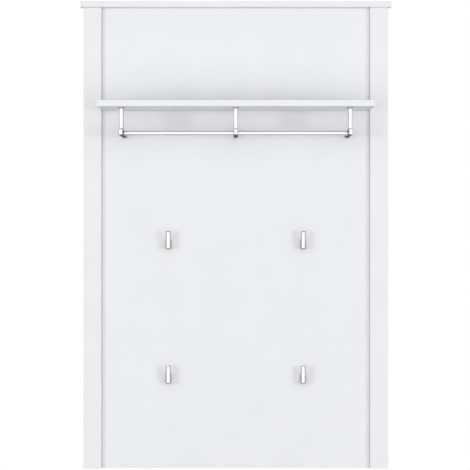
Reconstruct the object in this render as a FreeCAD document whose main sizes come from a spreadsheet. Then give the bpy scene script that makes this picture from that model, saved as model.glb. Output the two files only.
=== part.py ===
# Wall coat rack: a coated chipboard panel with two stiles, a top board, a hat shelf, a clothes rail
# on three brackets, and four coat hooks. Millimetres, +Z up, the front faces -Y.
# The origin is the centre of the panel's rear face, which lies against the wall.

import FreeCAD, Part
import os

import Sketcher

DIMENSIONS = {
    # boards and their edge bands
    "panel_width": 940,
    "panel_height": 1425,
    "panel_thick": 16,
    "stile_width": 55,
    "stile_thick": 16,
    "top_width": 960,
    "top_depth": 43,
    "top_thick": 18,
    "shelf_width": 829,
    "shelf_depth": 250,
    "shelf_thick": 18,
    "shelf_height": 1107,
    "band_thick": 1,
    "band_round": 0.7,
    # rail brackets: arm_low is measured from the panel's bottom edge, reaches from the panel's face
    "bracket_spacing": 344,
    "bracket_width": 12.5,
    "arm_low": 1022.5,
    "arm_height": 18.5,
    "arm_reach": 224,
    "upright_reach": 192,
    "upright_depth": 20,
    "flange_width": 18,
    "flange_depth": 26,
    "flange_thick": 3,
    "flange_round": 2.2,
    "casting_round": 2.4,
    "casting_corner": 4,
    "cap_length": 6,
    "cap_neck": 0.8,
    "cap_round": 2.4,
    "spigot_diameter": 6,
    "spigot_length": 8,
    # clothes rail
    "rail_diameter": 14,
    "rail_wall": 1,
    "rail_reach": 150,
    "rail_rise": 8,
    "rail_socket": 9,
    # coat hooks
    "hook_spacing": 416,
    "hook_low": 263.5,
    "hook_rise": 415,
    "hook_width": 15,
    "hook_height": 55.5,
    "hook_reach": 33,
    "hook_plate": 4.5,
    "hook_floor": 9,
    "hook_foot": 7.5,
    "hook_foot_height": 29,
    "hook_bevel_width": 3.2,
    "hook_bevel_depth": 1.4,
    "hook_crease": 0.4,
    "hook_cradle": 8,
    "hook_tip": 1.5,
    "hook_edge": 0.8,
    # machine screws through the panel into the hooks
    "hook_screw_low": 6,
    "hook_screw_high": 21,
    "hook_screw_shank": 4,
    "hook_screw_head": 8,
    "hook_screw_head_length": 2.6,
    "hook_screw_sink": 4,
    "hook_screw_grip": 6,
    # machine screws through the panel into the bracket arms
    "arm_screw_shank": 6,
    "arm_screw_head": 11,
    "arm_screw_head_length": 4,
    "arm_screw_sink": 6,
    "arm_screw_grip": 20,
    # hanger bolts between the bracket uprights and the shelf
    "hanger_bolt_shank": 5,
    "hanger_bolt_up": 12,
    "hanger_bolt_down": 13,
    # grub screws down through the tops of the arms onto the rail
    "grub_diameter": 3,
    "grub_length": 3,
    "grub_socket": 1.5,
    "grub_socket_depth": 1.2,
    # board screws: shelf screws are thick and long, stile screws thin and short
    "shelf_screw_shank": 7,
    "shelf_screw_head": 10,
    "shelf_screw_length": 50,
    "shelf_screw_outer": 380,
    "shelf_screw_inner": 130,
    "stile_screw_shank": 4,
    "stile_screw_head": 8,
    "stile_screw_length": 28,
    "stile_screw_margin": 100,
    "screw_head_length": 3,
    "sink_clearance": 1,
    "hole_run_out": 0.3,
    "cross_share": 0.62,
    "cross_width": 0.9,
    "cross_depth": 1.2,
    # dowels
    "dowel_diameter": 8,
    "dowel_length": 30,
    "dowel_bevel": 1,
    "dowel_short_end": 10,
    "shelf_dowel_outer": 290,
    "top_dowel_outer": 400,
    "top_dowel_inner": 150,
    # cam locks at the top board
    "cam_diameter": 15,
    "cam_depth": 12,
    "cam_clearance": 0.5,
    "cam_drop": 34,
    "cam_spacing": 280,
    "cam_slot": 8.4,
    "cam_slot_drop": 2,
    "cam_cross_length": 9,
    "cam_cross_width": 1.6,
    "cam_cross_depth": 1.5,
    "cam_bolt_thread": 5,
    "cam_bolt_thread_length": 11,
    "cam_bolt_collar": 7.4,
    "cam_bolt_shank": 4,
    "cam_bolt_head": 7,
    "cam_bolt_head_length": 3,
    "cam_bolt_reach": 31,
    "cam_bolt_collar_length": 2,
    "cam_bolt_channel": 8,
    # keyhole hanger plates let into the panel's back
    "plate_spacing": 760,
    "plate_drop": 75,
    "plate_width": 30,
    "plate_height": 70,
    "plate_thick": 2,
    "plate_sink": 2,
    "keyhole_entry": 10,
    "keyhole_slot": 5,
    "keyhole_rise": 12,
    "plate_pocket_width": 14,
    "plate_pocket_height": 34,
    "plate_pocket_depth": 8,
    "plate_screw_spacing": 52,
    "plate_screw_shank": 3.5,
    "plate_screw_head": 7,
    "plate_screw_head_length": 1.8,
    "plate_screw_length": 10,
}

# Places that many pieces share, as expressions on the sheet.
BOTTOM = "-dims.panel_height / 2"
PANEL_TOP = "dims.panel_height / 2"
PANEL_FACE = "-dims.panel_thick"
SHELF_UNDER = f"{BOTTOM} + dims.shelf_height"
ARM_LOW = f"{BOTTOM} + dims.arm_low"
RAIL_AXIS = f"{ARM_LOW} + dims.rail_rise"
UPRIGHT_TOP = "(dims.shelf_height - dims.arm_low)"
UPRIGHT_MIDDLE = "(dims.upright_reach - dims.upright_depth / 2)"
PLATE_MIDDLE = f"{PANEL_TOP} - dims.plate_drop"
BAND = "dims.band_thick"
SHELF_SCREW_PLACES = ("dims.shelf_screw_outer", "dims.shelf_screw_inner")
STILE_SCREW_ROWS = range(5)
TOLERANCE = 1e-6

SIDES = {"left": "-1", "middle": "0", "right": "1"}
ROWS = {"lower": "0", "upper": "1"}

doc = FreeCAD.newDocument("wall_coat_rack")
nodes = []


# ---------------------------------------------------------------- tools

def fill_sheet():
    """Writes the driving dimensions, one row each, with the alias beside the number."""
    sheet = doc.addObject("Spreadsheet::Sheet", "dims")
    for row, (alias, number) in enumerate(DIMENSIONS.items(), 1):
        sheet.set(f"A{row}", alias)
        sheet.set(f"B{row}", str(number))
        sheet.setAlias(f"B{row}", alias)
    doc.recompute()


def node(piece):
    """Marks a finished object as a piece of the parts list, named by its label."""
    nodes.append(piece)
    return piece


def at(piece, across, out, up):
    """Places a piece: across along X, out along Y, up along Z."""
    for axis, expression in zip("xyz", (across, out, up)):
        piece.setExpression(f"Placement.Base.{axis}", expression)
    return piece


def new_body(label):
    """An empty body whose label is its name."""
    return doc.addObject("PartDesign::Body", label)


def sketch_on(body, name, role, offset=None):
    """A sketch on one of the body's own origin planes, moved along its normal by the offset."""
    sketch = body.newObject("Sketcher::SketchObject", name)
    plane = next(part for part in body.Origin.OriginFeatures if part.Role == role)
    sketch.AttachmentSupport = [(plane, "")]
    sketch.MapMode = "FlatFace"
    if offset is not None:
        sketch.setExpression("AttachmentOffset.Base.z", offset)
    return sketch


def bind(sketch, constraint, expression):
    """Adds a sized constraint and ties its value to an expression."""
    index = sketch.addConstraint(constraint)
    sketch.setExpression(f"Constraints[{index}]", expression)


def bind_point(sketch, geometry, point, across, along):
    """Ties one point of a sketch's geometry to two distances from the sketch's origin."""
    for kind, expression in (("DistanceX", across), ("DistanceY", along)):
        distance = float(sketch.evalExpression(expression))
        bind(sketch, Sketcher.Constraint(kind, -1, 1, geometry, point, distance), expression)


def polygon(sketch, corners):
    """A closed loop of straight lines through corners given as pairs of expressions."""
    points = [
        FreeCAD.Vector(float(sketch.evalExpression(x)), float(sketch.evalExpression(y)), 0)
        for x, y in corners
    ]
    first = sketch.GeometryCount
    count = len(points)
    for index, point in enumerate(points):
        sketch.addGeometry(Part.LineSegment(point, points[(index + 1) % count]), False)
    for index in range(count):
        following = first + (index + 1) % count
        sketch.addConstraint(Sketcher.Constraint("Coincident", first + index, 2, following, 1))
    for index, (x, y) in enumerate(corners):
        bind_point(sketch, first + index, 1, x, y)


def rectangle(sketch, width, height, left="0", low="0"):
    """A rectangle from its lower left corner."""
    right = f"{left} + {width}"
    high = f"{low} + {height}"
    polygon(sketch, [(left, low), (right, low), (right, high), (left, high)])


def circle(sketch, diameter, across="0", along="0"):
    """A circle of a given diameter about a centre given by two expressions."""
    radius = f"({diameter}) / 2"
    centre = FreeCAD.Vector(
        float(sketch.evalExpression(across)), float(sketch.evalExpression(along)), 0
    )
    size = float(sketch.evalExpression(radius))
    index = sketch.addGeometry(Part.Circle(centre, FreeCAD.Vector(0, 0, 1), size), False)
    bind(sketch, Sketcher.Constraint("Radius", index, size), radius)
    bind_point(sketch, index, 3, across, along)


def pad(body, sketch, length):
    """Raises a sketch along its normal."""
    feature = body.newObject("PartDesign::Pad", "Pad")
    feature.Profile = sketch
    feature.setExpression("Length", length)
    return feature


def pocket(body, sketch, depth, from_low_face):
    """Cuts a sketch into the body: along its normal from the low face, against it from the high face."""
    feature = body.newObject("PartDesign::Pocket", "Pocket")
    feature.Profile = sketch
    feature.Reversed = from_low_face
    feature.setExpression("Length", depth)
    return feature


def bore(body, name, role, diameter, centres, depth, offset=None):
    """Round holes of one size and depth, from the face in the origin plane or from the offset face."""
    sketch = sketch_on(body, name, role, offset)
    for across, along in centres:
        circle(sketch, diameter, across, along)
    return pocket(body, sketch, depth, offset is None)


def revolve(body, sketch):
    """Turns a half profile about the sketch's vertical axis."""
    feature = body.newObject("PartDesign::Revolution", "Turned")
    feature.Profile = sketch
    feature.ReferenceAxis = (sketch, ["V_Axis"])
    feature.Angle = 360
    return feature


def fillet(body, radius, wanted):
    """Rounds the edges of the body's tip that pass the test."""
    doc.recompute()
    base = body.Tip
    names = [f"Edge{i}" for i, edge in enumerate(base.Shape.Edges, 1) if wanted(edge)]
    feature = body.newObject("PartDesign::Fillet", "Rounded")
    feature.Base = (base, names)
    feature.setExpression("Radius", radius)
    return feature


def value(alias):
    """A driving dimension as a number."""
    return float(DIMENSIONS[alias])


def near(a, b):
    """Whether two lengths are the same."""
    return abs(a - b) < TOLERANCE


def lies_at(edge, axis, place):
    """Whether both ends of an edge have the same given coordinate."""
    return all(near(getattr(vertex.Point, axis), place) for vertex in edge.Vertexes)


def runs_across(edge, out, up):
    """Whether an edge runs along X through a given point of the YZ plane."""
    return lies_at(edge, "y", out) and lies_at(edge, "z", up)


def driver_cross(body, length, width, depth, face="0"):
    """A cross-shaped recess for a driver, cut towards the front from a face turned to the wall."""
    cross = sketch_on(body, "DriverCross", "XZ_Plane", face)
    reach = f"({length}) / 2"
    half = f"({width}) / 2"
    arm_corners = [(half, reach), (half, half), (reach, half)]
    corners = []
    for quarter, (across, up) in enumerate([(1, 1), (1, -1), (-1, -1), (-1, 1)]):
        ordered = arm_corners if quarter % 2 == 0 else arm_corners[::-1]
        corners += [(f"{across} * {x}", f"{up} * {y}") for x, y in ordered]
    polygon(cross, corners)
    return pocket(body, cross, depth, True)


def fastener(label, steps):
    """A screw along Y, pointing away from the wall: steps are pairs of diameter and depth."""
    body = new_body(label)
    profile = sketch_on(body, "HalfProfile", "XY_Plane")
    corners = [("0", f"-({steps[0][1]})")]
    for diameter, depth in steps:
        corners.append((f"({diameter}) / 2", f"-({depth})"))
    corners.append(("0", f"-({steps[-1][1]})"))
    polygon(profile, corners)
    revolve(body, profile)
    head, start = steps[0]
    driver_cross(body, f"{head} * dims.cross_share", "dims.cross_width", "dims.cross_depth", start)
    return body


def group(label, master, places):
    """Copies of one fastener as separate solids of one node."""
    copies = []
    for across, out, up in places:
        copy = doc.addObject("App::Link", f"{label}_copy")
        copy.LinkedObject = master
        copies.append(at(copy, across, out, up))
    compound = doc.addObject("Part::Compound", label)
    compound.Links = copies
    return node(compound)


# ---------------------------------------------------------------- boards

def board(label, width, height, depth):
    """A flat board: lower left rear corner at the body's origin, depth towards the front."""
    body = new_body(label)
    outline = sketch_on(body, "Outline", "XZ_Plane")
    rectangle(outline, width, height)
    pad(body, outline, depth)
    return node(body)


def mirrored_places(distances, middle="dims.panel_width / 2"):
    """Places along a board that lie the same distances left and right of its middle."""
    return [f"{middle} {sign} {distance}" for distance in distances for sign in "-+"]


def stile_screw_height(row):
    """Heights of the stile screws above the panel's bottom edge, evenly spaced between the margins."""
    span = "(dims.panel_height - 2 * dims.stile_screw_margin)"
    return f"dims.stile_screw_margin + {span} * {row} / {len(STILE_SCREW_ROWS) - 1}"


def back_panel():
    """The full back board, drilled for everything that is fixed to it."""
    width = f"dims.panel_width - 2 * {BAND}"
    height = f"dims.panel_height - {BAND}"
    body = board("back_panel", width, height, "dims.panel_thick")
    middle = f"(dims.panel_width / 2 - {BAND})"

    def up(height_above_edge):
        return f"{height_above_edge} - {BAND}"

    hook_places = [
        (across, up(f"dims.hook_low + {row} * dims.hook_rise + {screw}"))
        for across in mirrored_places(["dims.hook_spacing / 2"], middle)
        for row in ROWS.values()
        for screw in ("dims.hook_screw_low", "dims.hook_screw_high")
    ]
    bore(body, "HookScrewHoles", "XZ_Plane", "dims.hook_screw_shank", hook_places,
         "dims.panel_thick")
    bore(body, "HookScrewSinks", "XZ_Plane", "dims.hook_screw_head + dims.sink_clearance",
         hook_places, "dims.hook_screw_sink")

    arm_places = [
        (f"{middle} + {side} * dims.bracket_spacing", up("dims.arm_low + dims.arm_height / 2"))
        for side in SIDES.values()
    ]
    bore(body, "ArmScrewHoles", "XZ_Plane", "dims.arm_screw_shank", arm_places, "dims.panel_thick")
    bore(body, "ArmScrewSinks", "XZ_Plane", "dims.arm_screw_head + dims.sink_clearance",
         arm_places, "dims.arm_screw_sink")

    shelf_middle = up("dims.shelf_height + dims.shelf_thick / 2")
    shelf_places = [(across, shelf_middle) for across in mirrored_places(SHELF_SCREW_PLACES, middle)]
    bore(body, "ShelfScrewHoles", "XZ_Plane", "dims.shelf_screw_shank", shelf_places,
         "dims.panel_thick")
    bore(body, "ShelfScrewSinks", "XZ_Plane", "dims.shelf_screw_head", shelf_places,
         "dims.screw_head_length")
    dowel_places = [
        (across, shelf_middle) for across in mirrored_places(["dims.shelf_dowel_outer"], middle)
    ]
    bore(body, "ShelfDowelHoles", "XZ_Plane", "dims.dowel_diameter", dowel_places,
         "dims.dowel_short_end", offset="dims.panel_thick")

    stile_places = [
        (across, up(stile_screw_height(row)))
        for across in mirrored_places(["(dims.panel_width - dims.stile_width) / 2"], middle)
        for row in STILE_SCREW_ROWS
    ]
    bore(body, "StileScrewHoles", "XZ_Plane", "dims.stile_screw_shank", stile_places,
         "dims.panel_thick")
    bore(body, "StileScrewSinks", "XZ_Plane", "dims.stile_screw_head", stile_places,
         "dims.screw_head_length")

    board_middle = "-dims.panel_thick / 2"
    top_dowels = [
        (across, board_middle)
        for across in mirrored_places(["dims.top_dowel_outer", "dims.top_dowel_inner"], middle)
    ]
    bore(body, "TopDowelHoles", "XY_Plane", "dims.dowel_diameter", top_dowels,
         "dims.dowel_length - dims.dowel_short_end", offset=height)
    cam_across = [f"{middle} + {side} * dims.cam_spacing" for side in SIDES.values()]
    bore(body, "CamBoltChannels", "XY_Plane", "dims.cam_bolt_channel",
         [(across, board_middle) for across in cam_across], "dims.cam_drop", offset=height)
    bore(body, "CamHousings", "XZ_Plane", "dims.cam_diameter",
         [(across, f"{height} - dims.cam_drop") for across in cam_across],
         "dims.cam_depth + dims.cam_clearance")

    plate_across = mirrored_places(["dims.plate_spacing / 2"], middle)
    plate_middle = f"({height} - dims.plate_drop)"
    recess = sketch_on(body, "PlateRecesses", "XZ_Plane")
    clearance = sketch_on(body, "ScrewHeadPockets", "XZ_Plane")
    for across in plate_across:
        rectangle(recess, "dims.plate_width", "dims.plate_height",
                  f"{across} - dims.plate_width / 2", f"{plate_middle} - dims.plate_height / 2")
        rectangle(clearance, "dims.plate_pocket_width", "dims.plate_pocket_height",
                  f"{across} - dims.plate_pocket_width / 2",
                  f"{plate_middle} - dims.plate_pocket_height / 2")
    plate_bottom = "(dims.plate_sink + dims.plate_thick)"
    pocket(body, recess, plate_bottom, True)
    pocket(body, clearance, f"{plate_bottom} + dims.plate_pocket_depth", True)
    plate_screws = [
        (across, f"{plate_middle} {sign} dims.plate_screw_spacing / 2")
        for across in plate_across
        for sign in "-+"
    ]
    bore(body, "PlateScrewHoles", "XZ_Plane", "dims.plate_screw_shank", plate_screws,
         "dims.plate_sink + dims.plate_screw_length")
    at(body, f"-dims.panel_width / 2 + {BAND}", "0", f"{BOTTOM} + {BAND}")


def stile(side):
    """The raised board down one side of the panel."""
    height = f"dims.panel_height - {BAND}"
    body = board(f"{side}_stile", f"dims.stile_width - 2 * {BAND}", height, "dims.stile_thick")
    middle = f"dims.stile_width / 2 - {BAND}"
    places = [(middle, f"{stile_screw_height(row)} - {BAND}") for row in STILE_SCREW_ROWS]
    bore(body, "ScrewHoles", "XZ_Plane", "dims.stile_screw_shank", places,
         "dims.stile_screw_length - dims.panel_thick")
    left_edge = {
        "left": "-dims.panel_width / 2",
        "right": "dims.panel_width / 2 - dims.stile_width",
    }[side]
    at(body, f"{left_edge} + {BAND}", PANEL_FACE, f"{BOTTOM} + {BAND}")


def top_board():
    """The board across the top, standing out past the panel and stiles."""
    width = f"dims.top_width - 2 * {BAND}"
    body = board("top_board", width, "dims.top_thick", f"dims.top_depth - {BAND}")
    middle = f"(dims.top_width / 2 - {BAND})"
    board_middle = "-dims.panel_thick / 2"
    dowels = mirrored_places(["dims.top_dowel_outer", "dims.top_dowel_inner"], middle)
    bore(body, "DowelHoles", "XY_Plane", "dims.dowel_diameter",
         [(across, board_middle) for across in dowels], "dims.dowel_short_end")
    cams = [f"{middle} + {side} * dims.cam_spacing" for side in SIDES.values()]
    bore(body, "CamBoltHoles", "XY_Plane", "dims.cam_bolt_thread",
         [(across, board_middle) for across in cams], "dims.cam_bolt_thread_length")
    at(body, f"-dims.top_width / 2 + {BAND}", "0", PANEL_TOP)


def hat_shelf():
    """The shelf between the stiles, its rear edge against the panel."""
    width = f"dims.shelf_width - 2 * {BAND}"
    body = board("hat_shelf", width, "dims.shelf_thick", f"dims.shelf_depth - {BAND}")
    middle = f"(dims.shelf_width / 2 - {BAND})"
    edge_middle = "dims.shelf_thick / 2"
    bore(body, "ScrewHoles", "XZ_Plane", "dims.shelf_screw_shank",
         [(across, edge_middle) for across in mirrored_places(SHELF_SCREW_PLACES, middle)],
         "dims.shelf_screw_length - dims.panel_thick")
    bore(body, "DowelHoles", "XZ_Plane", "dims.dowel_diameter",
         [(across, edge_middle) for across in mirrored_places(["dims.shelf_dowel_outer"], middle)],
         "dims.dowel_length - dims.dowel_short_end")
    uprights = [
        (f"{middle} + {side} * dims.bracket_spacing", f"-{UPRIGHT_MIDDLE}")
        for side in SIDES.values()
    ]
    bore(body, "HangerBoltHoles", "XY_Plane", "dims.hanger_bolt_shank", uprights,
         "dims.hanger_bolt_up")
    at(body, f"-dims.shelf_width / 2 + {BAND}", PANEL_FACE, SHELF_UNDER)


# ---------------------------------------------------------------- edge bands

def edge_band(label, size, place, outward):
    """One straight strip; its two long outer edges are rounded. Outward is the way its face looks."""
    strip = doc.addObject("Part::Box", f"{label}_strip")
    for side, expression in zip(("Length", "Width", "Height"), size):
        strip.setExpression(side, expression)
    at(strip, *place)
    doc.recompute()
    direction = FreeCAD.Vector(*outward)
    face = max(vertex.Point.dot(direction) for vertex in strip.Shape.Vertexes)
    longest = max(edge.Length for edge in strip.Shape.Edges)
    radius = value("band_round")
    rounded = doc.addObject("Part::Fillet", f"{label}_rounded")
    rounded.Base = strip
    rounded.Edges = [
        (index, radius, radius)
        for index, edge in enumerate(strip.Shape.Edges, 1)
        if near(edge.Length, longest)
        and all(near(vertex.Point.dot(direction), face) for vertex in edge.Vertexes)
    ]
    return rounded


def band_node(label, strips):
    """The strips of one board as separate solids of one node."""
    compound = doc.addObject("Part::Compound", label)
    compound.Links = [edge_band(label, size, place, outward) for size, place, outward in strips]
    node(compound)


def standing_bands(label, left, width, rear, thick):
    """Bands of an upright board: both long edges, and the bottom edge between them."""
    front = f"{rear} - {thick}"
    right = f"{left} + {width} - {BAND}"
    side = (BAND, thick, "dims.panel_height")
    bottom = (f"{width} - 2 * {BAND}", thick, BAND)
    band_node(label, [
        (side, (left, front, BOTTOM), (-1, 0, 0)),
        (side, (right, front, BOTTOM), (1, 0, 0)),
        (bottom, (f"{left} + {BAND}", front, BOTTOM), (0, 0, -1)),
    ])


def lying_bands(label, width, depth, thick, rear, low):
    """Bands of a level board: both ends, and the front edge across them."""
    side = (BAND, f"{depth} - {BAND}", thick)
    front = f"{rear} - {depth}"
    inner_front = f"{front} + {BAND}"
    band_node(label, [
        (side, (f"-{width} / 2", inner_front, low), (-1, 0, 0)),
        (side, (f"{width} / 2 - {BAND}", inner_front, low), (1, 0, 0)),
        ((width, BAND, thick), (f"-{width} / 2", front, low), (0, -1, 0)),
    ])


def edge_bands():
    """The bands of all five boards."""
    left = "-dims.panel_width / 2"
    right = "dims.panel_width / 2 - dims.stile_width"
    standing_bands("back_panel_edge_bands", left, "dims.panel_width", "0", "dims.panel_thick")
    standing_bands("left_stile_edge_bands", left, "dims.stile_width", PANEL_FACE, "dims.stile_thick")
    standing_bands("right_stile_edge_bands", right, "dims.stile_width", PANEL_FACE,
                   "dims.stile_thick")
    lying_bands("top_board_edge_bands", "dims.top_width", "dims.top_depth", "dims.top_thick",
                "0", PANEL_TOP)
    lying_bands("hat_shelf_edge_bands", "dims.shelf_width", "dims.shelf_depth", "dims.shelf_thick",
                PANEL_FACE, SHELF_UNDER)


# ---------------------------------------------------------------- rail and brackets

def rail_bracket(side):
    """A cast arm from the panel towards the front, with an upright to the shelf's underside."""
    body = new_body(f"rail_bracket_{side}")
    half_width = "dims.bracket_width / 2"
    profile = sketch_on(body, "SideProfile", "YZ_Plane", f"-{half_width}")
    front = "-dims.upright_reach"
    rear = "-dims.upright_reach + dims.upright_depth"
    polygon(profile, [
        ("0", "0"),
        ("-dims.arm_reach", "0"),
        ("-dims.arm_reach", "dims.arm_height"),
        (front, "dims.arm_height"),
        (front, UPRIGHT_TOP),
        (rear, UPRIGHT_TOP),
        (rear, "dims.arm_height"),
        ("0", "dims.arm_height"),
    ])
    pad(body, profile, "dims.bracket_width")

    arm_top = value("arm_height")
    upright_top = value("shelf_height") - value("arm_low")
    faces_of_upright = (-value("upright_reach"), value("upright_depth") - value("upright_reach"))
    fillet(body, "dims.casting_corner",
           lambda edge: any(runs_across(edge, out, arm_top) for out in faces_of_upright))
    fillet(body, "dims.casting_round",
           lambda edge: not near(abs(edge.tangentAt(edge.FirstParameter).x), 1)
           and not lies_at(edge, "y", 0)
           and not lies_at(edge, "y", -value("arm_reach"))
           and not lies_at(edge, "z", upright_top))
    flange = sketch_on(body, "ShelfFlange", "XY_Plane", f"{UPRIGHT_TOP} - dims.flange_thick")
    rectangle(flange, "dims.flange_width", "dims.flange_depth", "-dims.flange_width / 2",
              f"-{UPRIGHT_MIDDLE} - dims.flange_depth / 2")
    pad(body, flange, "dims.flange_thick")
    flange_side = value("flange_width") / 2
    flange_low = upright_top - value("flange_thick")
    fillet(body, "dims.flange_round",
           lambda edge: lies_at(edge, "z", flange_low)
           and (lies_at(edge, "x", flange_side) or lies_at(edge, "x", -flange_side)
                or near(edge.Length, value("flange_width"))))

    socket_face = {"left": half_width, "middle": half_width, "right": None}[side]
    socket_depth = {"middle": "dims.bracket_width"}.get(side, "dims.rail_socket")
    rail_hole = sketch_on(body, "RailHole", "YZ_Plane", socket_face or f"-{half_width}")
    circle(rail_hole, "dims.rail_diameter", "-dims.rail_reach", "dims.rail_rise")
    pocket(body, rail_hole, socket_depth, side == "right")

    arm_middle = [("0", "dims.arm_height / 2")]
    bore(body, "RearScrewHole", "XZ_Plane", "dims.arm_screw_shank", arm_middle,
         "dims.arm_screw_grip + dims.hole_run_out")
    bore(body, "CapSpigotHole", "XZ_Plane", "dims.spigot_diameter", arm_middle,
         "dims.spigot_length + dims.hole_run_out", offset="dims.arm_reach")
    bore(body, "GrubScrewHole", "XY_Plane", "dims.grub_diameter", [("0", "-dims.rail_reach")],
         "dims.arm_height - dims.rail_rise", offset="dims.arm_height")
    bore(body, "HangerBoltHole", "XY_Plane", "dims.hanger_bolt_shank",
         [("0", f"-{UPRIGHT_MIDDLE}")], "dims.hanger_bolt_down + dims.hole_run_out", offset=UPRIGHT_TOP)
    at(body, f"{SIDES[side]} * dims.bracket_spacing", PANEL_FACE, ARM_LOW)
    node(body)


def bracket_cap(side):
    """The end cap of an arm: a rounded block on a narrower neck, with a spigot into the arm."""
    body = new_body(f"bracket_cap_{side}")
    margin = "dims.cap_neck"
    neck = sketch_on(body, "Neck", "XZ_Plane", "dims.arm_reach")
    rectangle(neck, f"dims.bracket_width - 2 * {margin}", f"dims.arm_height - 2 * {margin}",
              f"-dims.bracket_width / 2 + {margin}", margin)
    pad(body, neck, "dims.cap_neck")
    block = sketch_on(body, "Block", "XZ_Plane", "dims.arm_reach + dims.cap_neck")
    rectangle(block, "dims.bracket_width", "dims.arm_height", "-dims.bracket_width / 2")
    pad(body, block, "dims.cap_length - dims.cap_neck")
    front = -value("arm_reach") - value("cap_length")
    block_length = value("cap_length") - value("cap_neck")
    fillet(body, "dims.cap_round",
           lambda edge: lies_at(edge, "y", front) or near(edge.Length, block_length))
    spigot = sketch_on(body, "Spigot", "XZ_Plane", "dims.arm_reach - dims.spigot_length")
    circle(spigot, "dims.spigot_diameter", "0", "dims.arm_height / 2")
    pad(body, spigot, "dims.spigot_length")
    at(body, f"{SIDES[side]} * dims.bracket_spacing", PANEL_FACE, ARM_LOW)
    node(body)


def clothes_rail():
    """A round tube through the middle bracket, its ends in the sockets of the outer brackets."""
    body = new_body("clothes_rail")
    half_length = "(dims.bracket_spacing - dims.bracket_width / 2 + dims.rail_socket)"
    section = sketch_on(body, "Section", "YZ_Plane", f"-{half_length}")
    circle(section, "dims.rail_diameter")
    circle(section, "dims.rail_diameter - 2 * dims.rail_wall")
    pad(body, section, f"2 * {half_length}")
    at(body, "0", f"{PANEL_FACE} - dims.rail_reach", RAIL_AXIS)
    node(body)


# ---------------------------------------------------------------- hooks

def coat_hook(side, row):
    """A cast J hook: a foot against the panel, a rounded floor and a taller front plate with bevels."""
    body = new_body(f"hook_{row}_{side}")
    profile = sketch_on(body, "SideProfile", "YZ_Plane", "-dims.hook_width / 2")
    face = "-dims.hook_reach"
    seam = "-dims.hook_reach + dims.hook_bevel_depth"
    inner = "-dims.hook_reach + dims.hook_plate"
    polygon(profile, [
        ("0", "0"),
        (seam, "0"),
        (face, "dims.hook_bevel_width"),
        (face, "dims.hook_height - dims.hook_bevel_width"),
        (seam, "dims.hook_height"),
        (inner, "dims.hook_height"),
        (inner, "dims.hook_floor"),
        ("-dims.hook_foot", "dims.hook_floor"),
        ("-dims.hook_foot", "dims.hook_foot_height"),
        ("0", "dims.hook_foot_height"),
    ])
    pad(body, profile, "dims.hook_width")
    face_out = -value("hook_reach")
    inner_out = face_out + value("hook_plate")
    foot_out = -value("hook_foot")
    floor = value("hook_floor")
    fillet(body, "dims.hook_cradle",
           lambda edge: runs_across(edge, inner_out, floor) or runs_across(edge, foot_out, floor))
    fillet(body, "dims.hook_tip",
           lambda edge: runs_across(edge, foot_out, value("hook_foot_height")))
    fillet(body, "dims.hook_edge",
           lambda edge: not near(abs(edge.tangentAt(edge.FirstParameter).x), 1)
           and not lies_at(edge, "y", 0)
           and all(vertex.Y > inner_out - TOLERANCE for vertex in edge.Vertexes))
    bevels = sketch_on(body, "SideBevels", "XY_Plane")
    for sign in "-+":
        side_face = f"{sign}dims.hook_width / 2"
        bevel_end = f"{sign}(dims.hook_width / 2 - dims.hook_bevel_width)"
        polygon(bevels, [(side_face, seam), (bevel_end, face), (side_face, face)])
    pocket(body, bevels, "dims.hook_height", True)
    fillet(body, "dims.hook_crease", lambda edge: lies_at(edge, "y", face_out))
    bore(body, "ScrewHoles", "XZ_Plane", "dims.hook_screw_shank",
         [("0", "dims.hook_screw_low"), ("0", "dims.hook_screw_high")],
         "dims.hook_screw_grip + dims.hole_run_out")
    at(body, f"{SIDES[side]} * dims.hook_spacing / 2", PANEL_FACE,
       f"{BOTTOM} + dims.hook_low + {ROWS[row]} * dims.hook_rise")
    node(body)


# ---------------------------------------------------------------- fasteners

def hook_screws():
    """Two machine screws through the panel into each hook."""
    start = "dims.hook_screw_sink - dims.hook_screw_head_length"
    end = "dims.panel_thick + dims.hook_screw_grip"
    master = fastener("hook_screw", [
        ("dims.hook_screw_head", start),
        ("dims.hook_screw_head", "dims.hook_screw_sink"),
        ("dims.hook_screw_shank", "dims.hook_screw_sink"),
        ("dims.hook_screw_shank", end),
    ])
    group("hook_screws", master, [
        (f"{SIDES[side]} * dims.hook_spacing / 2", "0",
         f"{BOTTOM} + dims.hook_low + {ROWS[row]} * dims.hook_rise + {screw}")
        for side in ("left", "right")
        for row in ROWS
        for screw in ("dims.hook_screw_low", "dims.hook_screw_high")
    ])


def bracket_rear_screws():
    """One machine screw through the panel into each arm."""
    start = "dims.arm_screw_sink - dims.arm_screw_head_length"
    end = "dims.panel_thick + dims.arm_screw_grip"
    master = fastener("bracket_rear_screw", [
        ("dims.arm_screw_head", start),
        ("dims.arm_screw_head", "dims.arm_screw_sink"),
        ("dims.arm_screw_shank", "dims.arm_screw_sink"),
        ("dims.arm_screw_shank", end),
    ])
    group("bracket_rear_screws", master, [
        (f"{side} * dims.bracket_spacing", "0", f"{ARM_LOW} + dims.arm_height / 2")
        for side in SIDES.values()
    ])


def bracket_shelf_bolts():
    """Hanger bolts: wood thread up into the shelf, machine thread down into the upright."""
    master = new_body("bracket_shelf_bolt")
    profile = sketch_on(master, "HalfProfile", "XZ_Plane")
    rectangle(profile, "dims.hanger_bolt_shank / 2", "dims.hanger_bolt_up + dims.hanger_bolt_down",
              "0", "-dims.hanger_bolt_down")
    revolve(master, profile)
    group("bracket_shelf_bolts", master, [
        (f"{side} * dims.bracket_spacing", f"{PANEL_FACE} - {UPRIGHT_MIDDLE}", SHELF_UNDER)
        for side in SIDES.values()
    ])


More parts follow.
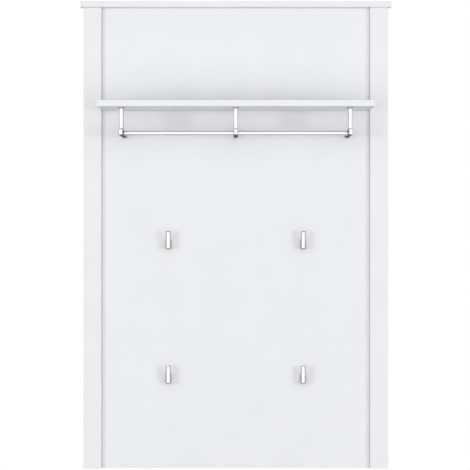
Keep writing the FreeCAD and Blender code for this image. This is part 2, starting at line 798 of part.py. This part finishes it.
def rail_grub_screws():
    """Socket set screws in the tops of the arms, their tips on the rail and their sockets upwards."""
    master = new_body("rail_grub_screw")
    outline = sketch_on(master, "Outline", "XY_Plane")
    circle(outline, "dims.grub_diameter")
    pad(master, outline, "dims.grub_length")
    key = sketch_on(master, "KeySocket", "XY_Plane", "dims.grub_length")
    rectangle(key, "dims.grub_socket", "dims.grub_socket", "-dims.grub_socket / 2",
              "-dims.grub_socket / 2")
    pocket(master, key, "dims.grub_socket_depth", False)
    group("rail_grub_screws", master, [
        (f"{side} * dims.bracket_spacing", f"{PANEL_FACE} - dims.rail_reach",
         f"{RAIL_AXIS} + dims.rail_diameter / 2")
        for side in SIDES.values()
    ])


def board_screws():
    """Countersunk screws from the back: thick ones into the shelf, thin ones into the stiles."""
    for kind in ("shelf", "stile"):
        head = f"dims.{kind}_screw_head"
        shank = f"dims.{kind}_screw_shank"
        master = fastener(f"{kind}_screw", [
            (head, "0"),
            (head, "dims.screw_head_length"),
            (shank, "dims.screw_head_length"),
            (shank, f"dims.{kind}_screw_length"),
        ])
        if kind == "shelf":
            up = f"{SHELF_UNDER} + dims.shelf_thick / 2"
            places = [(across, "0", up) for across in mirrored_places(SHELF_SCREW_PLACES, "0")]
        else:
            places = [
                (across, "0", f"{BOTTOM} + {stile_screw_height(row)}")
                for across in mirrored_places(["(dims.panel_width - dims.stile_width) / 2"], "0")
                for row in STILE_SCREW_ROWS
            ]
        group(f"{kind}_screws", master, places)


def dowel_body(label, plane):
    """A dowel with bevelled ends, upright in its sketch: the joint is at 0, the long end below it."""
    body = new_body(label)
    profile = sketch_on(body, "HalfProfile", plane)
    radius = "dims.dowel_diameter / 2"
    small = f"{radius} - dims.dowel_bevel"
    long_end = "(dims.dowel_length - dims.dowel_short_end)"
    polygon(profile, [
        ("0", f"-{long_end}"),
        (small, f"-{long_end}"),
        (radius, f"-{long_end} + dims.dowel_bevel"),
        (radius, "dims.dowel_short_end - dims.dowel_bevel"),
        (small, "dims.dowel_short_end"),
        ("0", "dims.dowel_short_end"),
    ])
    revolve(body, profile)
    return body


def dowels():
    """Dowels between the panel and the shelf, and between the panel and the top board."""
    shelf_dowel = dowel_body("shelf_dowel", "XY_Plane")
    up = f"{SHELF_UNDER} + dims.shelf_thick / 2"
    group("shelf_dowels", shelf_dowel, [
        (across, PANEL_FACE, up) for across in mirrored_places(["dims.shelf_dowel_outer"], "0")
    ])
    top_dowel = dowel_body("top_board_dowel", "XZ_Plane")
    group("top_board_dowels", top_dowel, [
        (across, "-dims.panel_thick / 2", PANEL_TOP)
        for across in mirrored_places(["dims.top_dowel_outer", "dims.top_dowel_inner"], "0")
    ])


def cam_locks():
    """Round cams in the panel's back, each with a slot for its bolt and a cross for the driver."""
    master = new_body("cam_lock")
    outline = sketch_on(master, "Outline", "XZ_Plane")
    circle(outline, "dims.cam_diameter")
    pad(master, outline, "dims.cam_depth")
    slot = sketch_on(master, "BoltSlot", "XZ_Plane", "dims.cam_depth")
    rectangle(slot, "dims.cam_slot", "dims.cam_diameter", "-dims.cam_slot / 2",
              "-dims.cam_slot_drop")
    pocket(master, slot, "dims.cam_slot", False)
    driver_cross(master, "dims.cam_cross_length", "dims.cam_cross_width", "dims.cam_cross_depth")
    group("cam_locks", master, [
        (f"{side} * dims.cam_spacing", "0", f"{PANEL_TOP} - dims.cam_drop")
        for side in SIDES.values()
    ])


def cam_bolts():
    """Bolts screwed up into the top board, their heads hanging in the cams."""
    master = new_body("cam_bolt")
    profile = sketch_on(master, "HalfProfile", "XZ_Plane")
    head_low = "-dims.cam_bolt_reach"
    head_high = f"{head_low} + dims.cam_bolt_head_length"
    collar_low = "-dims.cam_bolt_collar_length"
    polygon(profile, [
        ("0", head_low),
        ("dims.cam_bolt_head / 2", head_low),
        ("dims.cam_bolt_head / 2", head_high),
        ("dims.cam_bolt_shank / 2", head_high),
        ("dims.cam_bolt_shank / 2", collar_low),
        ("dims.cam_bolt_collar / 2", collar_low),
        ("dims.cam_bolt_collar / 2", "0"),
        ("dims.cam_bolt_thread / 2", "0"),
        ("dims.cam_bolt_thread / 2", "dims.cam_bolt_thread_length"),
        ("0", "dims.cam_bolt_thread_length"),
    ])
    revolve(master, profile)
    group("cam_bolts", master, [
        (f"{side} * dims.cam_spacing", "-dims.panel_thick / 2", PANEL_TOP)
        for side in SIDES.values()
    ])


# ---------------------------------------------------------------- hanging plates

def hanger_plate(side):
    """A steel plate with a keyhole: a round entry for the wall screw's head and a slot above it."""
    body = new_body(f"hanger_plate_{side}")
    outline = sketch_on(body, "Outline", "XZ_Plane", "dims.plate_sink")
    rectangle(outline, "dims.plate_width", "dims.plate_height", "-dims.plate_width / 2",
              "-dims.plate_height / 2")
    pad(body, outline, "dims.plate_thick")
    bore(body, "ScrewHoles", "XZ_Plane", "dims.plate_screw_shank",
         [("0", "-dims.plate_screw_spacing / 2"), ("0", "dims.plate_screw_spacing / 2")],
         "dims.plate_sink + dims.plate_thick")
    entry_drop = "-dims.keyhole_rise / 2"
    bore(body, "KeyholeEntry", "XZ_Plane", "dims.keyhole_entry", [("0", entry_drop)],
         "dims.plate_sink + dims.plate_thick")
    slot = sketch_on(body, "KeyholeSlot", "XZ_Plane")
    rectangle(slot, "dims.keyhole_slot", "dims.keyhole_rise", "-dims.keyhole_slot / 2", entry_drop)
    pocket(body, slot, "dims.plate_sink + dims.plate_thick", True)
    bore(body, "KeyholeSeat", "XZ_Plane", "dims.keyhole_slot", [("0", "dims.keyhole_rise / 2")],
         "dims.plate_sink + dims.plate_thick")
    at(body, f"{SIDES[side]} * dims.plate_spacing / 2", "0", PLATE_MIDDLE)
    node(body)


def hanger_plate_screws():
    """Two wood screws through each hanger plate into the panel."""
    start = "dims.plate_sink - dims.plate_screw_head_length"
    master = fastener("hanger_plate_screw", [
        ("dims.plate_screw_head", start),
        ("dims.plate_screw_head", "dims.plate_sink"),
        ("dims.plate_screw_shank", "dims.plate_sink"),
        ("dims.plate_screw_shank", "dims.plate_sink + dims.plate_screw_length"),
    ])
    group("hanger_plate_screws", master, [
        (across, "0", f"{PLATE_MIDDLE} {sign} dims.plate_screw_spacing / 2")
        for across in mirrored_places(["dims.plate_spacing / 2"], "0")
        for sign in "-+"
    ])


# ---------------------------------------------------------------- build, check and write

def build():
    """Makes every piece."""
    fill_sheet()
    back_panel()
    stile("left")
    stile("right")
    top_board()
    hat_shelf()
    edge_bands()
    for side in SIDES:
        rail_bracket(side)
        bracket_cap(side)
    clothes_rail()
    for row in ROWS:
        for side in ("left", "right"):
            coat_hook(side, row)
    hook_screws()
    bracket_rear_screws()
    bracket_shelf_bolts()
    rail_grub_screws()
    board_screws()
    dowels()
    cam_locks()
    cam_bolts()
    hanger_plate("left")
    hanger_plate("right")
    hanger_plate_screws()
    doc.recompute()


def check():
    """Stops if an object failed, a cut removed nothing, or a piece has no valid solid."""
    for thing in doc.Objects:
        if "Invalid" in thing.State or "Error" in thing.State:
            raise RuntimeError(f"{thing.Label} failed: {thing.State}")
        if thing.TypeId == "PartDesign::Pocket":
            before = thing.BaseFeature.Shape.Volume
            if thing.Shape.Volume > before - TOLERANCE:
                owner = thing.getParentGeoFeatureGroup()
                raise RuntimeError(f"{thing.Label} in {owner.Label} cut nothing")
    for piece in nodes:
        if piece.Shape.isNull() or not piece.Shape.isValid() or not piece.Shape.Solids:
            raise RuntimeError(f"{piece.Label} has no valid solid")


def write():
    """Writes one file for each piece."""
    os.makedirs("parts", exist_ok=True)
    for piece in nodes:
        piece.Shape.exportStep(f"parts/{piece.Label}.step")
    solids = sum(len(piece.Shape.Solids) for piece in nodes)
    print(f"{len(nodes)} nodes, {solids} solids")


build()
check()
write()
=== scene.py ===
"""Looks of the wall coat rack: white boards, chrome rail, brackets and hooks, and the hidden hardware.

Metres, +Z up, the front faces -Y and the wall is the plane y = 0. Every position is read from the frame.
"""

import math

import bpy
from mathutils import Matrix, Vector


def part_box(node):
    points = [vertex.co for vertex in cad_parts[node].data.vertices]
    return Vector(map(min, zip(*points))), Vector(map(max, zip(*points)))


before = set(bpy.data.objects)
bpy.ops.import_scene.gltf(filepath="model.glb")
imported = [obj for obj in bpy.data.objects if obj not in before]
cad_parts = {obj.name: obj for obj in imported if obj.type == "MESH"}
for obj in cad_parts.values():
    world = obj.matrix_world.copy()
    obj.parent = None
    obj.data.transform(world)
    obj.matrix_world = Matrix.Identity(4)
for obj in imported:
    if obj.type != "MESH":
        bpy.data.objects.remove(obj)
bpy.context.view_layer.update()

MILLIMETRE = 0.001

# ---------------------------------------------------------------- camera and light: driving values

CAMERA_DISTANCE = 6.427        # from the panel's face
FIELD_WIDTH = 1.455            # seen at the panel's face
EYE_HEIGHT = 0.768             # above the panel's bottom edge
SENSOR_WIDTH = 36.0
SHIFT = (-0.0016, -0.032)      # share of the frame
FARTHEST_SEEN = 100.0

# A share is of full white, on a surface that faces -Y, or +Y for the light behind.
KEY_HEIGHT = 1.00              # above the panel's bottom edge
KEY_DISTANCE = 4.5             # in front of the panel's face
KEY_SIZE = (7.5, 4.6)
KEY_SHARE = 0.552
SIDE_HEIGHT = 0.72             # of the side lights, above the panel's bottom edge
SIDE_ANGLE = 42.0              # from straight ahead
SIDE_SIZE = (1.4, 1.4)
SIDE_SHARE = 0.12
OVERHEAD_RISE = 2.2            # above the panel's top edge
OVERHEAD_DISTANCE = 0.8        # in front of the panel's face
OVERHEAD_SIZE = (2.4, 0.8)
OVERHEAD_SHARE = 0.030
BACK_DISTANCE = 3.2            # behind the wall's plane
BACK_SIZE = (3.0, 3.0)
BACK_SHARE = 0.40

AMBIENT = 0.435                # of the even light on matt surfaces
AMBIENT_ABOVE = 0.9            # times that, from straight above
AMBIENT_BELOW = 1.15

# What glossy surfaces mirror: a white screen in front, in a grey room. Each edge is the range of a
# direction's X, Y or Z over which the screen fades out or the room turns from its floor to its walls.
SCREEN_GLOW = 0.80
SCREEN_EDGE_DEPTH = (-0.2, 0.0)
SCREEN_EDGE_ACROSS = (0.50, 0.66)
SCREEN_EDGE_UP = (0.58, 0.72)
ROOM_BELOW, ROOM_ABOVE = 0.45, 0.50
ROOM_EDGE_UP = (-0.9, -0.2)

FLOOR_DROP = 0.45              # below the panel's bottom edge
FLOOR_RADIUS = 30.0
FLOOR_SIDES = 96
FLOOR_NEAR, FLOOR_FAR = 1.4, 3.4   # where the floor starts to turn white, and where it is white
FLOOR_GLOW = 0.5               # share of plain white at its middle
FLOOR_COLOUR = (0.86, 0.865, 0.87, 1.0)

# ---------------------------------------------------------------- materials: driving values

PLAIN_WHITE = (1.0, 1.0, 1.0, 1.0)
NOISE_ROUGHNESS = 0.55
UPRIGHT_STREAKS = (1.0, 1.0, 0.03)  # scales that draw a noise out along the height
RINGS_ROUND_X = (1.0, 0.05, 0.05)   # and into rings round the X axis

WHITE = (0.818, 0.825, 0.841)
WHITE_SHADE = (0.799, 0.807, 0.826)
COAT_CLOUDS_PER_METRE = 9.0    # of slightly darker white
COAT_ROUGHNESS = (0.34, 0.44)
SMEARS_PER_METRE = 38.0        # left by handling, longer upright than across
SMEAR_STRETCH = (1.0, 1.0, 0.35)
PEARL_PER_METRE = 1500.0       # the fine texture pressed into the coat
PEARL_DEPTH = 0.02 * MILLIMETRE
PEARL_ROUGHNESS = 0.03         # how far it varies the roughness either way
COAT_MARGIN = 0.8 * MILLIMETRE # of white beside a coated face, so that no core shows past a rounded band
CORE_ROUGHNESS = 0.45          # above the coat's

CHIP_PALE = (0.60, 0.46, 0.30)
CHIP_DARK = (0.36, 0.25, 0.15)
CHIP_FIBRE = (0.68, 0.55, 0.38)
CHIPS_PER_METRE = 520.0
FIBRES_PER_METRE = 1900.0
CHIP_DEPTH = 0.35 * MILLIMETRE

BAND_WHITE = (0.80, 0.81, 0.825)
BAND_SHADE = (0.785, 0.796, 0.812)
BAND_CLOUDS_PER_METRE = 14.0
BAND_ROUGHNESS = (0.27, 0.36)
KNIFE_MARKS_PER_METRE = 900.0
KNIFE_MARK_DEPTH = 0.01 * MILLIMETRE

JOINT_WIDTH = 3.5 * MILLIMETRE # of the painted shade line where pieces meet
JOINT_SHADE = (0.05, 0.05, 0.05)
JOINT_OPENNESS = (0.5, 1.0)    # how open a spot is where the line is darkest, and where it ends
BOARD_JOINT_SHADE = 0.30            # share of that shade
CHROME_JOINT_SHADE = 0.85

# Painted shade on the chrome's undersides: the colour they turn, and how much rougher they are.
UNDERSIDE_SHADE = (0.30, 0.30, 0.305)
UNDERSIDE_ROUGHNESS = 0.45       # above the polished faces'
UNDERSIDE = (-0.95, -0.75)     # range of a normal's Z from full painted shade and roughness to none
BRUSH_DEPTH = 0.003 * MILLIMETRE
BRUSH_SHARE = 0.25             # how far the brushing varies the roughness

BEECH_BROWN = (0.66, 0.47, 0.29)
BEECH_PALE = (0.74, 0.57, 0.38)
BEECH_FLECK = (0.38, 0.23, 0.12)
BEECH_BANDS_PER_METRE = 240.0
BEECH_ROUGHNESS = (0.55, 0.7)
FLECKS_PER_METRE = 1800.0
FLECK_DEPTH = 0.05 * MILLIMETRE


# ---------------------------------------------------------------- node tools

def new_material(name):
    """An empty node material: (material, tree, principled shader)."""
    made = bpy.data.materials.new(name)
    made.use_nodes = True
    return made, made.node_tree, made.node_tree.nodes["Principled BSDF"]


def add(tree, kind, inputs=None, **settings):
    """A shader node. Each input is a plain value or another node's output socket."""
    made = tree.nodes.new(kind)
    for key, setting in settings.items():
        setattr(made, key, setting)
    for key, given in (inputs or {}).items():
        if isinstance(given, bpy.types.NodeSocket):
            tree.links.new(given, made.inputs[key])
        else:
            made.inputs[key].default_value = given
    return made


def place_in_row(tree):
    """The row's coordinates in metres, because each object sits at the row's origin."""
    return add(tree, "ShaderNodeTexCoord").outputs["Object"]


def stretched(tree, scale=(1, 1, 1)):
    """The row's coordinates, scaled along each axis."""
    inputs = {"Vector": place_in_row(tree), "Scale": scale}
    return add(tree, "ShaderNodeMapping", inputs).outputs["Vector"]


def part_of(tree, vector, axis):
    """One component, X, Y or Z, of a vector."""
    return add(tree, "ShaderNodeSeparateXYZ", {"Vector": vector}).outputs[axis]


def noise(tree, vector, per_metre, detail=3.0):
    """A noise value about 0.5, with that many features to the metre."""
    inputs = {
        "Vector": vector, "Scale": per_metre, "Detail": detail, "Roughness": NOISE_ROUGHNESS,
    }
    return add(tree, "ShaderNodeTexNoise", inputs).outputs["Fac"]


def span(tree, value, low, high, source=(0.3, 0.7)):
    """Maps a value from the source range to the range low to high, clamped."""
    inputs = {
        "Value": value, "From Min": source[0], "From Max": source[1], "To Min": low, "To Max": high,
    }
    return add(tree, "ShaderNodeMapRange", inputs, clamp=True).outputs["Result"]


def maths(tree, operation, first, second=0.0):
    """One arithmetic step."""
    return add(tree, "ShaderNodeMath", {0: first, 1: second}, operation=operation).outputs[0]


def blend_colours(tree, share, first, second):
    """Mixes two colours, each a tuple or a socket."""
    made = add(tree, "ShaderNodeMix", {0: share}, data_type="RGBA")
    for index, given in ((6, first), (7, second)):
        if isinstance(given, bpy.types.NodeSocket):
            tree.links.new(given, made.inputs[index])
        else:
            made.inputs[index].default_value = (*given, 1.0)
    return made.outputs[2]


def bump(tree, height, depth, strength=1.0, below=None):
    """A normal from a height that spans 0 to 1 over that depth in metres, on top of the one below."""
    inputs = {"Height": height, "Distance": depth, "Strength": strength}
    if below is not None:
        inputs["Normal"] = below
    return add(tree, "ShaderNodeBump", inputs).outputs["Normal"]


def paint_joint_shade(tree, colour, darkness):
    """Darkens a colour with painted shade in the narrow lines where pieces meet, by how closed in each
    spot is.
    """
    nearby = add(tree, "ShaderNodeAmbientOcclusion", {"Distance": JOINT_WIDTH}, samples=8)
    share = span(tree, nearby.outputs["AO"], darkness, 0.0, JOINT_OPENNESS)
    return blend_colours(tree, share, colour, JOINT_SHADE)


def finish_with(tree, shader, colour, roughness, normal):
    """Links what varies over the surface to the shader."""
    tree.links.new(colour, shader.inputs["Base Color"])
    tree.links.new(roughness, shader.inputs["Roughness"])
    tree.links.new(normal, shader.inputs["Normal"])


def settle(shader, **constants):
    """Sets what is the same all over the surface on the shader's own sockets."""
    for key, constant in constants.items():
        shader.inputs[key.replace("_", " ")].default_value = constant


# ---------------------------------------------------------------- materials

def raw_core(tree, axis, low, high):
    """1 where the surface is a cut edge or a bore: well between a board's two coated faces."""
    along = part_of(tree, place_in_row(tree), axis)
    above = maths(tree, "GREATER_THAN", along, low + COAT_MARGIN)
    below = maths(tree, "LESS_THAN", along, high - COAT_MARGIN)
    return maths(tree, "MULTIPLY", above, below)


def chipboard(tree):
    """Pressed wood chips: (colour, height)."""
    vector = stretched(tree)
    chips = add(tree, "ShaderNodeTexVoronoi", {"Vector": vector, "Scale": CHIPS_PER_METRE})
    tone = add(tree, "ShaderNodeSeparateColor", {"Color": chips.outputs["Color"]}).outputs[0]
    fibre = noise(tree, vector, FIBRES_PER_METRE)
    pressed = blend_colours(tree, tone, CHIP_PALE, CHIP_DARK)
    colour = blend_colours(tree, span(tree, fibre, 0.0, 0.5), pressed, CHIP_FIBRE)
    return colour, maths(tree, "ADD", chips.outputs["Distance"], fibre)


def melamine(name, axis, low, high):
    """White coated chipboard: fine pearl texture on the faces, chips where it is cut."""
    made, tree, shader = new_material(name)
    place = stretched(tree)
    pearl = noise(tree, place, PEARL_PER_METRE, 2.0)
    cloud = noise(tree, place, COAT_CLOUDS_PER_METRE, 4.0)
    smears = noise(tree, stretched(tree, SMEAR_STRETCH), SMEARS_PER_METRE, 5.0)
    coat = blend_colours(tree, span(tree, cloud, 0.0, 1.0), WHITE, WHITE_SHADE)
    chips, grain = chipboard(tree)
    core = raw_core(tree, axis, low, high)
    # Painted shade darkens the board where it meets other pieces.
    colour = paint_joint_shade(tree, blend_colours(tree, core, coat, chips), BOARD_JOINT_SHADE)
    smeared = span(tree, smears, *COAT_ROUGHNESS)
    coat_roughness = maths(
        tree, "ADD", smeared, span(tree, pearl, -PEARL_ROUGHNESS, PEARL_ROUGHNESS)
    )
    more_on_core = maths(tree, "MULTIPLY", core, CORE_ROUGHNESS)
    roughness = maths(tree, "ADD", coat_roughness, more_on_core)
    fine = bump(tree, pearl, PEARL_DEPTH, 0.5)
    coarse = bump(tree, maths(tree, "MULTIPLY", grain, core), CHIP_DEPTH, 0.8, below=fine)
    finish_with(tree, shader, colour, roughness, coarse)
    settle(shader, Metallic=0.0, IOR=1.5, Specular_IOR_Level=0.5)
    return made


def edge_plastic():
    """White edge band: smoother than the board's face, with faint marks of the trimming knife."""
    made, tree, shader = new_material("white_edge_band")
    drawn = noise(tree, stretched(tree, UPRIGHT_STREAKS), KNIFE_MARKS_PER_METRE, 2.0)
    cloud = noise(tree, stretched(tree), BAND_CLOUDS_PER_METRE)
    plastic = blend_colours(tree, span(tree, cloud, 0.0, 1.0), BAND_WHITE, BAND_SHADE)
    # Painted shade darkens the band where it meets other pieces.
    colour = paint_joint_shade(tree, plastic, BOARD_JOINT_SHADE)
    roughness = span(tree, cloud, *BAND_ROUGHNESS)
    finish_with(tree, shader, colour, roughness, bump(tree, drawn, KNIFE_MARK_DEPTH, 0.5))
    settle(shader, Metallic=0.0, IOR=1.53, Specular_IOR_Level=0.5)
    return made


def metal(name, bright, dull, roughness, wave, per_metre=160.0, stretch=(1, 1, 1), fine=2600.0,
          edge=1.0, shade_undersides=False, joints=0.0):
    """Metal whose tone, roughness and flatness vary: wave is the height of its unevenness.

    Per_metre counts the waves and fine the brushed marks, which stretch draws out. Edge is how much
    of its shine is left at a grazing angle. With its underside flag on, the undersides take painted
    shade as a darker colour, and are rougher too; the joint share is how much painted shade it takes
    where it meets another piece.
    """
    made, tree, shader = new_material(name)
    place = stretched(tree)
    cloud = noise(tree, place, per_metre * 0.4, 4.0)
    swell = noise(tree, place, per_metre, 1.0)
    brushed = noise(tree, stretched(tree, stretch), fine)
    colour = blend_colours(tree, span(tree, cloud, 0.0, 1.0), bright, dull)
    low, high = roughness
    grain = span(tree, brushed, -BRUSH_SHARE * low, BRUSH_SHARE * low)
    smear = maths(tree, "ADD", span(tree, cloud, low, high), grain)
    # Painted shade: faces turned down take a darker colour, and more roughness.
    if shade_undersides:
        facing = add(tree, "ShaderNodeNewGeometry").outputs["True Normal"]
        underside = span(tree, part_of(tree, facing, "Z"), 1.0, 0.0, UNDERSIDE)
        colour = blend_colours(tree, underside, colour, UNDERSIDE_SHADE)
        rougher = maths(tree, "MULTIPLY", underside, UNDERSIDE_ROUGHNESS)
        smear = maths(tree, "ADD", smear, rougher)
    # Painted shade darkens the chrome where it meets other pieces.
    if joints:
        colour = paint_joint_shade(tree, colour, joints)
    uneven = bump(tree, swell, wave)
    marks = bump(tree, brushed, BRUSH_DEPTH, 0.5, below=uneven)
    finish_with(tree, shader, colour, smear, marks)
    settle(shader, Metallic=1.0, Specular_Tint=(edge, edge, edge, 1.0))
    return made


def beech():
    """Turned beech: short dark flecks along the grain."""
    made, tree, shader = new_material("beech_dowel")
    fleck = noise(tree, stretched(tree, (1.0, 0.12, 0.12)), FLECKS_PER_METRE)
    band = noise(tree, stretched(tree, (1.0, 0.3, 0.3)), BEECH_BANDS_PER_METRE, 2.0)
    wood = blend_colours(tree, span(tree, band, 0.0, 1.0), BEECH_BROWN, BEECH_PALE)
    colour = blend_colours(tree, span(tree, fleck, 0.0, 0.6, (0.6, 0.75)), wood, BEECH_FLECK)
    roughness = span(tree, band, *BEECH_ROUGHNESS)
    finish_with(tree, shader, colour, roughness, bump(tree, fleck, FLECK_DEPTH, 0.6))
    settle(shader, Metallic=0.0)
    return made


def paint(names, made):
    """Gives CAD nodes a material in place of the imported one."""
    for name in names:
        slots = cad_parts[name].data.materials
        slots.clear()
        slots.append(made)


def paint_boards():
    """Each board has its own coated faces: upright ones face the room, level ones face up and down."""
    for name, axis in (
        ("back_panel", "Y"), ("left_stile", "Y"), ("right_stile", "Y"),
        ("top_board", "Z"), ("hat_shelf", "Z"),
    ):
        low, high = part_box(name)
        index = "XYZ".index(axis)
        paint([name], melamine(f"melamine_{name}", axis, low[index], high[index]))


def paint_hardware():
    """Bands, chrome, plated steel, castings and dowels."""
    nodes = sorted(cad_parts)
    castings = [
        name for name in nodes
        if name.startswith(("rail_bracket_", "bracket_cap_", "hook_")) and name != "hook_screws"
    ]
    paint([name for name in nodes if name.endswith("_edge_bands")], edge_plastic())
    # The chrome castings take painted shade on their undersides and where they meet other pieces.
    paint(castings, metal(
        "bright_chrome", (0.82, 0.825, 0.835), (0.78, 0.79, 0.805), roughness=(0.045, 0.10),
        wave=0.003 * MILLIMETRE, edge=0.0, shade_undersides=True, joints=CHROME_JOINT_SHADE))
    paint(["clothes_rail"], metal(
        "chrome_tube", (0.93, 0.935, 0.945), (0.90, 0.91, 0.92), roughness=(0.16, 0.22),
        wave=0.003 * MILLIMETRE, per_metre=90.0, stretch=RINGS_ROUND_X, edge=0.45))
    paint(["bracket_rear_screws", "bracket_shelf_bolts", "hook_screws", "shelf_screws",
           "stile_screws", "hanger_plate_screws", "cam_bolts"], metal(
        "zinc_plated_steel", (0.66, 0.68, 0.71), (0.58, 0.59, 0.58), roughness=(0.24, 0.40),
        wave=0.02 * MILLIMETRE, per_metre=420.0))
    paint(["hanger_plate_left", "hanger_plate_right"], metal(
        "pressed_steel_plate", (0.70, 0.71, 0.73), (0.60, 0.61, 0.62), roughness=(0.28, 0.42),
        wave=0.01 * MILLIMETRE, per_metre=260.0, stretch=(1.0, 1.0, 0.04), fine=1500.0))
    paint(["cam_locks"], metal(
        "cast_zinc", (0.50, 0.505, 0.51), (0.40, 0.405, 0.41), roughness=(0.42, 0.6),
        wave=0.05 * MILLIMETRE, per_metre=700.0))
    paint(["rail_grub_screws"], metal(
        "blackened_steel", (0.075, 0.075, 0.08), (0.045, 0.045, 0.05), roughness=(0.35, 0.5),
        wave=0.02 * MILLIMETRE, per_metre=500.0))
    paint(["shelf_dowels", "top_board_dowels"], beech())


# ---------------------------------------------------------------- stage, light and camera

def link(thing):
    """Puts an object in the scene."""
    bpy.context.scene.collection.objects.link(thing)
    return thing


def floor_material():
    """Pale grey near the object, plain white away from it."""
    made, tree, shader = new_material("pale_floor")
    place = place_in_row(tree)
    away = add(tree, "ShaderNodeVectorMath", {0: place}, operation="LENGTH").outputs["Value"]
    white_share = span(tree, away, FLOOR_GLOW, 1.0, (FLOOR_NEAR, FLOOR_FAR))
    settle(shader, Base_Color=FLOOR_COLOUR, Roughness=0.8, Specular_IOR_Level=0.2)
    glow = add(tree, "ShaderNodeEmission", {"Color": PLAIN_WHITE, "Strength": 1.0})
    mixed = add(tree, "ShaderNodeMixShader", {
        0: white_share, 1: shader.outputs["BSDF"], 2: glow.outputs["Emission"],
    })
    tree.links.new(mixed.outputs["Shader"], tree.nodes["Material Output"].inputs["Surface"])
    return made


def floor(bottom):
    """A pale round floor that neither shades the object nor shows in its chrome."""
    turns = [2 * math.pi * side / FLOOR_SIDES for side in range(FLOOR_SIDES)]
    ring = [(FLOOR_RADIUS * math.cos(turn), FLOOR_RADIUS * math.sin(turn), 0.0) for turn in turns]
    mesh = bpy.data.meshes.new("floor")
    mesh.from_pydata(ring, [], [tuple(range(FLOOR_SIDES))])
    mesh.materials.append(floor_material())
    plane = link(bpy.data.objects.new("floor", mesh))
    plane.location = (0.0, 0.0, bottom - FLOOR_DROP)
    plane.visible_glossy = False
    plane.visible_diffuse = False
    plane.visible_shadow = False


def softbox(name, place, target, size, share):
    """A large soft light that gives a surface facing -Y or +Y at the target that share of full white."""
    data = bpy.data.lights.new(name, "AREA")
    data.shape = "RECTANGLE"
    data.size, data.size_y = size
    lamp = link(bpy.data.objects.new(name, data))
    lamp.location = place
    aim = Vector(target) - Vector(place)
    lamp.rotation_euler = aim.to_track_quat("-Z", "Y").to_euler()
    facing = abs(aim.normalized().y)
    data.energy = share * math.pi ** 2 * aim.length_squared / facing
    lamp.visible_camera = False
    lamp.visible_glossy = False


def studio(face, bottom, top):
    """A wide light in front, a smaller one to each side, a faint one overhead and one for the back."""
    distant = face - KEY_DISTANCE
    key_height = bottom + KEY_HEIGHT
    softbox("front_key", (0.0, distant, key_height), (0.0, face, key_height), KEY_SIZE, KEY_SHARE)
    across = KEY_DISTANCE * math.tan(math.radians(SIDE_ANGLE))
    side_height = bottom + SIDE_HEIGHT
    for side, name in ((-1, "key_left"), (1, "key_right")):
        place = (side * across, distant, side_height)
        softbox(name, place, (0.0, face, side_height), SIDE_SIZE, SIDE_SHARE)
    overhead = (0.0, face - OVERHEAD_DISTANCE, top + OVERHEAD_RISE)
    softbox("overhead", overhead, (0.0, face, top), OVERHEAD_SIZE, OVERHEAD_SHARE)
    softbox("back_fill", (0.0, BACK_DISTANCE, 0.0), (0.0, 0.0, 0.0), BACK_SIZE, BACK_SHARE)


def mirrored_room(tree, parts):
    """How bright each direction looks to a glossy surface: the screen plus the room."""
    across = maths(tree, "ABSOLUTE", parts.outputs["X"])
    upward = maths(tree, "ABSOLUTE", parts.outputs["Z"])
    in_front = span(tree, parts.outputs["Y"], SCREEN_GLOW, 0.0, SCREEN_EDGE_DEPTH)
    within = maths(
        tree, "MULTIPLY", span(tree, across, 1.0, 0.0, SCREEN_EDGE_ACROSS),
        span(tree, upward, 1.0, 0.0, SCREEN_EDGE_UP)
    )
    screen = maths(tree, "MULTIPLY", in_front, within)
    room = span(tree, parts.outputs["Z"], ROOM_BELOW, ROOM_ABOVE, ROOM_EDGE_UP)
    return maths(tree, "ADD", screen, room)


def surroundings():
    """White to the camera, even grey light for matt surfaces, a lit studio for glossy ones."""
    world = bpy.data.worlds.new("studio")
    bpy.context.scene.world = world
    world.use_nodes = True
    tree = world.node_tree
    tree.nodes.clear()
    way = add(tree, "ShaderNodeTexCoord").outputs["Generated"]
    parts = add(tree, "ShaderNodeSeparateXYZ", {"Vector": way})
    even = span(
        tree, parts.outputs["Z"], AMBIENT * AMBIENT_BELOW, AMBIENT * AMBIENT_ABOVE, (-1.0, 1.0)
    )
    matt, glossy, seen = (
        add(tree, "ShaderNodeBackground", {"Color": PLAIN_WHITE, "Strength": strength}).outputs[0]
        for strength in (even, mirrored_room(tree, parts), 1.0)
    )
    path = add(tree, "ShaderNodeLightPath")
    lit = add(tree, "ShaderNodeMixShader", {0: path.outputs["Is Glossy Ray"], 1: matt, 2: glossy})
    shown = add(tree, "ShaderNodeMixShader", {
        0: path.outputs["Is Camera Ray"], 1: lit.outputs[0], 2: seen,
    })
    out = add(tree, "ShaderNodeOutputWorld")
    tree.links.new(shown.outputs[0], out.inputs["Surface"])


def camera(face, bottom):
    """A level camera far in front of the rack, a little above its middle."""
    data = bpy.data.cameras.new("camera")
    data.sensor_width = SENSOR_WIDTH
    data.lens = SENSOR_WIDTH * CAMERA_DISTANCE / FIELD_WIDTH
    data.shift_x, data.shift_y = SHIFT
    data.clip_end = FARTHEST_SEEN
    seat = link(bpy.data.objects.new("camera", data))
    seat.location = (0.0, face - CAMERA_DISTANCE, bottom + EYE_HEIGHT)
    seat.rotation_euler = (math.radians(90.0), 0.0, 0.0)
    bpy.context.scene.camera = seat


def main():
    """Paints the frame and sets the stage."""
    paint_boards()
    paint_hardware()
    panel_low, panel_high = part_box("back_panel_edge_bands")
    floor(panel_low.z)
    studio(panel_low.y, panel_low.z, panel_high.z)
    surroundings()
    camera(panel_low.y, panel_low.z)
    settings = bpy.context.scene.view_settings
    settings.view_transform = "Standard"
    settings.look = "None"


main()
